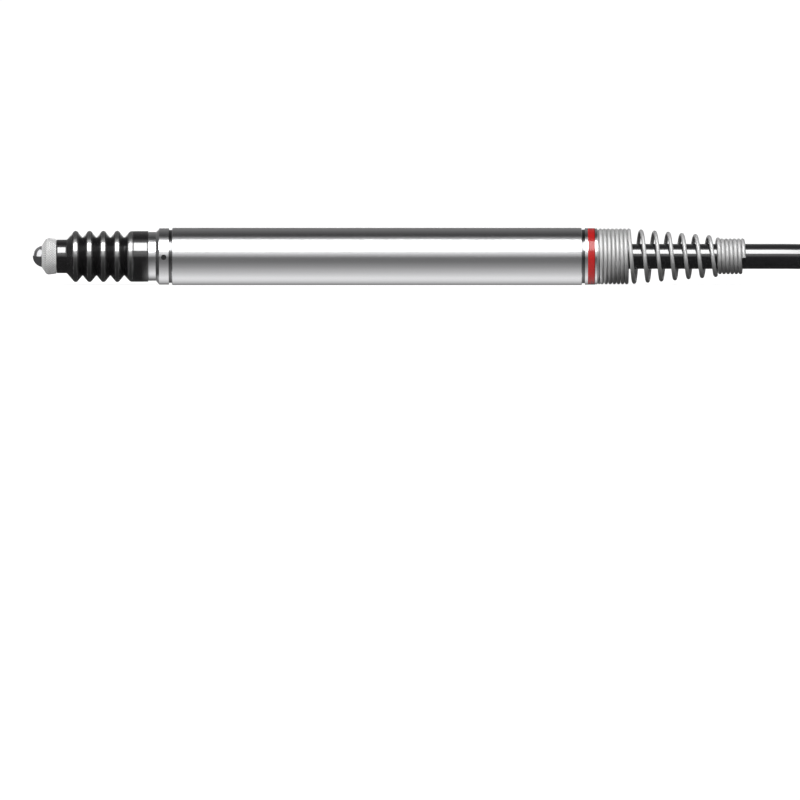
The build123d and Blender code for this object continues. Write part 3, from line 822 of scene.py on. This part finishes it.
class ProbeCable(bpy.types.Operator):
    """Lay the cable, wind its spare length into a hank and tie it"""

    bl_idname = "probe.cable"
    bl_label = "Cable"

    def execute(self, context):
        diameter = context.scene.probe_sizes.cable
        data = bpy.data.curves.new("signal_cable", "CURVE")
        data.dimensions = "3D"
        spline = data.splines.new("NURBS")
        points = cable_points()
        spline.points.add(len(points) - 1)
        for spot, point in zip(spline.points, points):
            spot.co = (*(value * MM for value in point), 1.0)
        spline.order_u = 3
        spline.use_endpoint_u = True
        spline.use_smooth = True
        data.resolution_u = 6
        data.bevel_depth = diameter / 2
        data.bevel_resolution = 6
        data.use_fill_caps = True
        data.materials.append(MATERIALS["cable_jacket"])
        cable = add_object("signal_cable", data)
        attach(cable, "housing")
        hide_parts("cable", "cable_hank", "cable_tail")
        pieces = [self.tie(), self.boot()]
        for piece in pieces:
            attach(piece, "housing")
        pieces += [NODES[name] for name in ("plug_nose", "plug_insert", "plug_pins", "plug_grip")]
        return {"FINISHED"}

    def tie(self):
        """A woven strap round the hank. Its rounded free end lies on its first turn, on top."""
        low, high = (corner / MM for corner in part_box("hank_tie"))
        middle, half = (low + high) / 2, (high.x - low.x) / 2
        inner_y = high.y - middle.y - STRAP_THICK - STRAP_BEND
        inner_z = high.z - middle.z - STRAP_THICK - STRAP_BEND
        top, lift = high.z - STRAP_THICK, STRAP_THICK + STRAP_GAP
        first_end, free_end = middle.y + STRAP_START, middle.y - STRAP_END
        # Each point of the strap's inner line has its Y, its Z, the way out and a share of width
        path = [(first_end, top, 90.0, 1.0)]
        for k, (side, rise) in enumerate(((-1, 1), (-1, -1), (1, -1), (1, 1))):
            for step in range(BEND_STEPS + 1):
                turn = 90 * (k + 1 + step / BEND_STEPS)
                across, up = cos_sin(turn)
                y = middle.y + side * inner_y + STRAP_BEND * across
                path.append((y, middle.z + rise * inner_z + STRAP_BEND * up, turn, 1.0))
        for ahead, share in STRAP_CLIMB:
            path.append((first_end + ahead, top + lift * share, 90.0, 1.0))
        for turn in range(0, 76, 15):  # round the free end
            share, ahead = cos_sin(turn)
            path.append((free_end - half * ahead, top + lift, 90.0, share))
        section = [(-half, STRAP_BEVEL), (STRAP_BEVEL - half, 0.0)]
        section += [(half - STRAP_BEVEL, 0.0), (half, STRAP_BEVEL)]
        section += [(x, STRAP_THICK - out) for x, out in section[::-1]]
        rows = []
        for y, z, turn, share in path:
            across, up = cos_sin(turn)
            line = [(middle.x + x * share, y + across * out, z + up * out) for x, out in section]
            rows.append([[value * MM for value in point] for point in line])
        strap = mesh_object("hank_strap", swept(rows, False), "tie_fabric", sharp=50.0)
        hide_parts("hank_tie")
        return strap

    def boot(self):
        """The plug's rubber boot, with ribs that let it bend."""
        low, high = (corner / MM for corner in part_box("plug_boot"))
        centre, radius = ((low.y + high.y) / 2, (low.z + high.z) / 2), (high.y - low.y) / 2
        shoulder = low.x + STEM
        outside = [(low.x, BOOT_BORE), (low.x, STEM_RADIUS), (shoulder, STEM_RADIUS)]
        outside += [(shoulder, radius), (shoulder + CUFF, radius - CUFF_TAPER)]
        first = shoulder + CUFF + RIB_GAP
        pitch = (high.x - PLAIN_END - first) / RIBS
        for k in range(RIBS):
            x = first + k * pitch
            taper = (x - shoulder) / (high.x - shoulder)
            crest = radius + (END_RADIUS - radius) * taper
            outside += [(x + pitch * share, crest + height) for share, height in RIB]
        outside += [(high.x, END_RADIUS), (high.x, BOOT_BORE)]
        outline = rounded(outside, [BOOT_ROUNDING] * len(outside))
        boot = lathe(
            "plug_boot_ribbed", outline, "black_rubber", sharp=50.0, segments=64, centre=centre
        )
        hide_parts("plug_boot")
        return boot


# The bellows. A line is a run of stations and radii, from the place that its comment names.

CRESTS, FIRST_CREST, CREST_PITCH = 4, 2.67, 1.93
VALLEY, WALL = 2.637, 0.45
# Radius and half angle of a crest's rounding, and how far its shoulders lie from its top
CREST_BEND, CREST_TURN, SHOULDER = 0.38, 50, 0.45
# From the front end
FRONT_CUFF = (
    (0.0, 2.22), (0.12, 2.34), (0.2, 2.34), (1.25, 2.34),
    (1.3, 2.34), (1.4, 2.35), (1.47, 2.4),
)
FRONT_BORE = ((0.0, 1.92), (1.57, 1.92))
# From the shallow bead on the rear cuff's shoulder, which itself is placed from the rear end
BEAD_FROM_REAR = 2.49
BEAD = (
    (-SHOULDER, 3.12), (-0.26, 3.33), (-0.13, 3.45), (0.0, 3.51),
    (0.13, 3.535), (0.26, 3.54), (0.36, 3.53), (0.5, 3.54), (0.55, 3.54),
)
# From the rear end
REAR_CUFF = ((-0.2, 3.54), (-0.1, 3.54), (0.0, 3.44))
REAR_BORE = ((-2.51, 3.17), (0.0, 3.17))
BORE_BEND = 0.15

# Polish of a crest: reach of its level top, tilt at its shoulders in degrees, reach of its
# painted sheen line and width over which that fades, and how far below its top the polish goes
LEVEL_REACH, SHOULDER_TILT, PAINTED_SHEEN_REACH, PAINTED_SHEEN_FADE, POLISH_DEPTH = 0.26, 50, 0.29, 0.1, 0.44
# How far the bead reaches, where its front flank ends, and the least radius of its polish
# on that flank and behind it
BEAD_REACH, BEAD_FLANK, BEAD_LOW, BEAD_HIGH = 1.0, -0.3, 3.05, 3.3


def line_from(place, line):
    """A line moved to the place that its stations count from."""
    return [(place + step, radius) for step, radius in line]


class ProbeBellows(bpy.types.Operator):
    """Mould the rubber bellows between its two cuffs"""

    bl_idname = "probe.bellows"
    bl_label = "Bellows"

    def execute(self, context):
        low, high = (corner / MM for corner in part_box("gaiter"))
        front, rear, crest, half = low.x, high.x, high.y, CREST_PITCH / 2
        crests = [front + FIRST_CREST + k * CREST_PITCH for k in range(CRESTS)]
        bead = rear - BEAD_FROM_REAR
        outside, inside = line_from(front, FRONT_CUFF), line_from(front, FRONT_BORE)
        for x in crests:
            outside += [*self.crest_line(x, crest), (x + half, VALLEY)]
            inside += [(x, crest - WALL), (x + half, VALLEY - WALL)]
        outside += line_from(bead, BEAD) + line_from(rear, REAR_CUFF)
        inside += line_from(rear, REAR_BORE)
        profile = outside + rounded(inside[::-1], [BORE_BEND] * len(inside))
        bellows = lathe("rubber_bellows", profile, "black_rubber", sharp=60.0)
        self.soften(bellows, crests, bead, crest - POLISH_DEPTH)
        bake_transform(bellows)
        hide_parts("gaiter")
        return {"FINISHED"}

    def crest_line(self, x, crest):
        """Stations and radii over one rounded crest, down to a shoulder on each of its flanks."""
        arc = []
        for turn in range(-CREST_TURN, CREST_TURN + 1, 10):
            level, out = cos_sin(turn)
            arc.append((CREST_BEND * out, crest - CREST_BEND * (1 - level)))
        side, low = arc[-1]
        share = (SHOULDER - side) / (CREST_PITCH / 2 - side)
        shoulder = low + (VALLEY - low) * share
        return line_from(x, [(-SHOULDER, shoulder), *arc, (SHOULDER, shoulder)])

    def soften(self, bellows, crests, bead, crest_low):
        """Widens the polish of the crests and of the bead, and marks where a painted sheen lies
        on them.
        """
        mesh = bellows.data
        normals = [corner.vector.copy() for corner in mesh.corner_normals]
        worn = mesh.attributes.new("worn", "FLOAT", "POINT")
        soft = {}
        for k, vertex in enumerate(mesh.vertices):
            x, y, z = vertex.co / MM
            radius = math.hypot(y, z)
            offset = min((x - place for place in [*crests, bead]), key=abs)
            reach, low = abs(offset), crest_low
            if abs(x - bead) < BEAD_REACH:
                low = BEAD_HIGH if offset > BEAD_FLANK else BEAD_LOW
            if reach > SHOULDER + 0.01 or radius < low:
                continue
            share = max(0.0, (reach - LEVEL_REACH) / (SHOULDER - LEVEL_REACH))
            tilt = math.copysign(math.radians(SHOULDER_TILT) * share, offset)
            level = math.cos(tilt)
            soft[k] = Vector((math.sin(tilt), level * y / radius, level * z / radius))
            # Painted sheen along the crest's top, fading to its sides
            worn.data[k].value = min(1.0, max(0.0, (PAINTED_SHEEN_REACH - reach) / PAINTED_SHEEN_FADE))
        for loop in mesh.loops:
            normals[loop.index] = soft.get(loop.vertex_index, normals[loop.index])
        mesh.normals_split_custom_set(normals)


# The tip holder

TIP_HEAD, KNURL_ROW, TIP_SEGMENTS = 2.03, 0.36, 352
# The knurl is cut into the skin outside a radius, short of its ends. Its grooves lie lower.
KNURL_RADIUS, CUT_RADIUS, KNURL_END = 1.7, 1.65, 0.05
# Longest step between the points of a knurled run, and the shortest run that is divided
KNURL_STEP, KNURL_RUN = 0.045, 0.05


def knurl(tooth, row):
    """How deep a diamond knurl is cut, from 0 on a point to 1 in a groove."""
    one = abs(2 * ((tooth + row) % 1) - 1)
    two = abs(2 * ((tooth - row) % 1) - 1)
    return max(one, two) ** 2


class ProbeTip(bpy.types.Operator):
    """Knurl the tip holder that is crimped over the contact ball"""

    bl_idname = "probe.tip"
    bl_label = "Tip holder"

    def execute(self, context):
        sizes = context.scene.probe_sizes
        depth, teeth = sizes.knurl_depth / MM, sizes.knurl_teeth
        front, rear = (corner.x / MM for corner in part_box("tip_holder"))
        back = front + TIP_HEAD

        def cut_at(x, radius, turn, skin):
            knurled = radius > skin and front + KNURL_END < x < back - KNURL_END
            return knurl(turn * teeth, (x - front) / KNURL_ROW) if knurled else 0.0

        outline = self.outline(front, back, rear)
        rows = []
        for turn in [k / TIP_SEGMENTS for k in range(TIP_SEGMENTS)]:
            line = [(x, r - depth * cut_at(x, r, turn, KNURL_RADIUS)) for x, r in outline]
            rows.append([around(x, r, 2 * math.pi * turn) for x, r in line])
        holder = mesh_object("tip_holder_knurled", swept(rows, True), "knurled_steel", sharp=60.0)
        # How deep each point is cut, which the knurled steel darkens as painted shade
        marks = holder.data.attributes.new("knurl", "FLOAT", "POINT")
        for vertex, mark in zip(holder.data.vertices, marks.data):
            x, y, z = vertex.co / MM
            turn = math.atan2(z, y) / (2 * math.pi)
            mark.value = cut_at(x, math.hypot(y, z), turn, CUT_RADIUS)
        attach(holder, "spindle")
        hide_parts("tip_holder")
        return {"FINISHED"}

    def outline(self, front, back, rear):
        """Stations and radii of the holder's closed line, close together on the knurl."""
        spots = (  # station, radius and rounding, from inside the mouth round to the stud
            (front + 0.5, 1.3, 0),
            (front, 1.5, 0),
            (front, 1.55, 0.03),
            (front + 0.6, 2.45, 0.12),
            (back - 1.1, 2.55, 0.1),
            (back, 2.42, 0.1),
            (back, 1.25, 0),
            (rear, 1.25, 0.05),
            (rear, 0.0, 0),
            (front + 1.6, 0.0, 0),
        )
        line = rounded([(x, r) for x, r, _ in spots], [bend for _, _, bend in spots])
        dense = []
        for here, after in zip(line, line[1:] + line[:1]):
            run = Vector(after) - Vector(here)
            skin = min(here[1], after[1]) > KNURL_RADIUS and abs(run.x) > KNURL_RUN
            steps = max(1, round(run.length / KNURL_STEP)) if skin else 1
            dense += [tuple(Vector(here) + run * k / steps) for k in range(steps)]
        return dense


# The two springs

# The strain-relief spring: its first point's station, radius and angle in degrees, and the
# turns, pitch and last radius of each stretch
RELIEF_START, RELIEF_RADIUS, RELIEF_ANGLE = 59.595, 3.62, 138.5
RELIEF_STRETCHES = (
    (7.0, 0.57, 3.62),
    (6.375, 1.89, 2.62),
    (0.75, 0.57, 2.225),
    (6.0, 0.57, 2.225),
)
# Its ground end: the face that it lies on, its turns, and the gap to the next turn
RELIEF_FACE, GROUND_TURNS, GROUND_GAP = 59.32, 0.625, 0.01
# The return spring: radius, open turns, and pitch of the closed turn at each end
RETURN_RADIUS, RETURN_TURNS, CLOSED_PITCH = 1.45, 7, 0.3
# Points along a turn, and sides of the wire
RELIEF_STEPS, RELIEF_SIDES = 48, 12
RETURN_STEPS, RETURN_SIDES = 32, 10


def wound_points(front, radius, start_angle, stretches, per_turn):
    """Points along a right-handed wire, in metres."""
    points, station, angle = [], front, math.radians(start_angle)
    for turns, pitch, end_radius in stretches:
        count = round(turns * per_turn)
        for k in range(count):
            here = radius + (end_radius - radius) * k / count
            points.append(around(station, here, angle))
            station += pitch / per_turn
            angle += 2 * math.pi / per_turn
        radius = end_radius
    points.append(around(station, radius, angle))
    return points


def ground_end(wire, pitch):
    """Points and thicknesses of the relief spring's wedge between its seat and its next turn."""
    points, thickness = [], []
    for k in range(round(GROUND_TURNS * RELIEF_STEPS)):
        back = -GROUND_TURNS + k / RELIEF_STEPS
        room = RELIEF_START + pitch * (back + 1) - wire / 2 - GROUND_GAP - RELIEF_FACE
        angle = math.radians(RELIEF_ANGLE) + 2 * math.pi * back
        points.append(around(RELIEF_FACE + room / 2, RELIEF_RADIUS, angle))
        thickness.append(min(1.0, room / wire))
    return points, thickness


def wire_tree(material):
    """Geometry nodes that give a path a round section. Returns the tree and its two inputs."""
    tree = bpy.data.node_groups.new("wound_wire", "GeometryNodeTree")
    add = tree.interface.new_socket
    add("Geometry", in_out="INPUT", socket_type="NodeSocketGeometry")
    diameter = add("Wire Diameter", in_out="INPUT", socket_type=NUMBER)
    sides = add("Sides", in_out="INPUT", socket_type="NodeSocketInt")
    add("Geometry", in_out="OUTPUT", socket_type="NodeSocketGeometry")
    start, end = tree.nodes.new("NodeGroupInput"), tree.nodes.new("NodeGroupOutput")
    circle = tree.nodes.new("GeometryNodeCurvePrimitiveCircle")
    tree.links.new(start.outputs["Sides"], circle.inputs["Resolution"])
    half = times(tree, start.outputs["Wire Diameter"], 0.5)
    tree.links.new(half, circle.inputs["Radius"])
    skin = tree.nodes.new("GeometryNodeCurveToMesh")
    skin.inputs["Fill Caps"].default_value = True
    tree.links.new(start.outputs["Geometry"], skin.inputs["Curve"])
    tree.links.new(circle.outputs["Curve"], skin.inputs["Profile Curve"])
    smooth = tree.nodes.new("GeometryNodeSetShadeSmooth")
    real = tree.nodes.new("GeometryNodeRealizeInstances")
    coat = tree.nodes.new("GeometryNodeSetMaterial")
    coat.inputs["Material"].default_value = material
    shape = skin.outputs["Mesh"]
    for node in (smooth, real, coat):
        tree.links.new(shape, node.inputs["Geometry"])
        shape = node.outputs["Geometry"]
    tree.links.new(shape, end.inputs["Geometry"])
    return tree, diameter.identifier, sides.identifier


def wound_wire(name, points, diameter, sides, thickness=()):
    """A spring along a path, made a plain mesh. Its first points may be thinner."""
    path = bpy.data.curves.new(name + "_path", "CURVE")
    path.dimensions = "3D"
    line = path.splines.new("POLY")
    line.points.add(len(points) - 1)
    for spot, point in zip(line.points, points):
        spot.co = (*point, 1.0)
    for spot, share in zip(line.points, thickness):
        spot.radius = share
    guide = add_object(name + "_path", path)
    tree, diameter_id, sides_id = wire_tree(MATERIALS["spring_steel"])
    modifier = guide.modifiers.new("wire", "NODES")
    modifier.node_group = tree
    modifier[diameter_id] = diameter
    modifier[sides_id] = sides
    evaluated = guide.evaluated_get(bpy.context.evaluated_depsgraph_get())
    mesh = bpy.data.meshes.new_from_object(evaluated)
    mesh.name = name
    bpy.data.objects.remove(guide)
    piece = add_object(name, mesh)
    return piece


class ProbeSprings(bpy.types.Operator):
    """Wind the strain-relief spring and the return spring from round wire"""

    bl_idname = "probe.springs"
    bl_label = "Springs"

    def execute(self, context):
        sizes = context.scene.probe_sizes
        self.relief_spring(sizes.relief_wire)
        self.return_spring(sizes.return_wire)
        return {"FINISHED"}

    def relief_spring(self, wire):
        """The spring round the cable: close wound, open and tapered, and close wound again."""
        start = RELIEF_START, RELIEF_RADIUS, RELIEF_ANGLE
        path = wound_points(*start, RELIEF_STRETCHES, RELIEF_STEPS)
        end, thickness = ground_end(wire / MM, RELIEF_STRETCHES[0][1])
        relief = wound_wire("strain_relief_coil", end + path, wire, RELIEF_SIDES, thickness)
        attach(relief, "housing")
        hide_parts("strain_relief_spring")

    def return_spring(self, wire):
        """The spring inside, which pushes the spindle out."""
        low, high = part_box("return_spring")
        front, rear = (low.x + wire / 2) / MM, (high.x - wire / 2) / MM
        pitch = (rear - front - 2 * CLOSED_PITCH) / RETURN_TURNS
        closed = (1, CLOSED_PITCH, RETURN_RADIUS)
        stretches = (closed, (RETURN_TURNS, pitch, RETURN_RADIUS), closed)
        path = wound_points(front, RETURN_RADIUS, 0, stretches, RETURN_STEPS)
        coil = wound_wire("return_coil", path, wire, RETURN_SIDES)
        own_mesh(coil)
        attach(coil, "housing")
        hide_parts("return_spring")


OPERATORS = (ProbeStage, ProbeFinish, ProbeCable, ProbeBellows, ProbeTip, ProbeSprings)


class ProbePanel(bpy.types.Panel):
    """The probe's build steps, sizes and colours"""

    bl_idname = "PROBE_PT_panel"
    bl_label = "Gauge probe"
    bl_space_type = "VIEW_3D"
    bl_region_type = "UI"
    bl_category = "Gauge probe"

    def draw(self, context):
        for group in (context.scene.probe_sizes, context.scene.probe_finishes):
            for name in group.__annotations__:
                self.layout.prop(group, name)
        for operator in OPERATORS:
            self.layout.operator(operator.bl_idname)


CLASSES = (ProbeSizes, ProbeFinishes, *OPERATORS, ProbePanel)


def register():
    for item in CLASSES:
        bpy.utils.register_class(item)
    bpy.types.Scene.probe_sizes = bpy.props.PointerProperty(type=ProbeSizes)
    bpy.types.Scene.probe_finishes = bpy.props.PointerProperty(type=ProbeFinishes)


def unregister():
    del bpy.types.Scene.probe_finishes
    del bpy.types.Scene.probe_sizes
    for item in reversed(CLASSES):
        bpy.utils.unregister_class(item)


def main():
    register()
    bpy.ops.probe.stage()
    bpy.ops.probe.finish()
    bpy.ops.probe.cable()
    bpy.ops.probe.bellows()
    bpy.ops.probe.tip()
    bpy.ops.probe.springs()


if __name__ == "__main__":
    main()
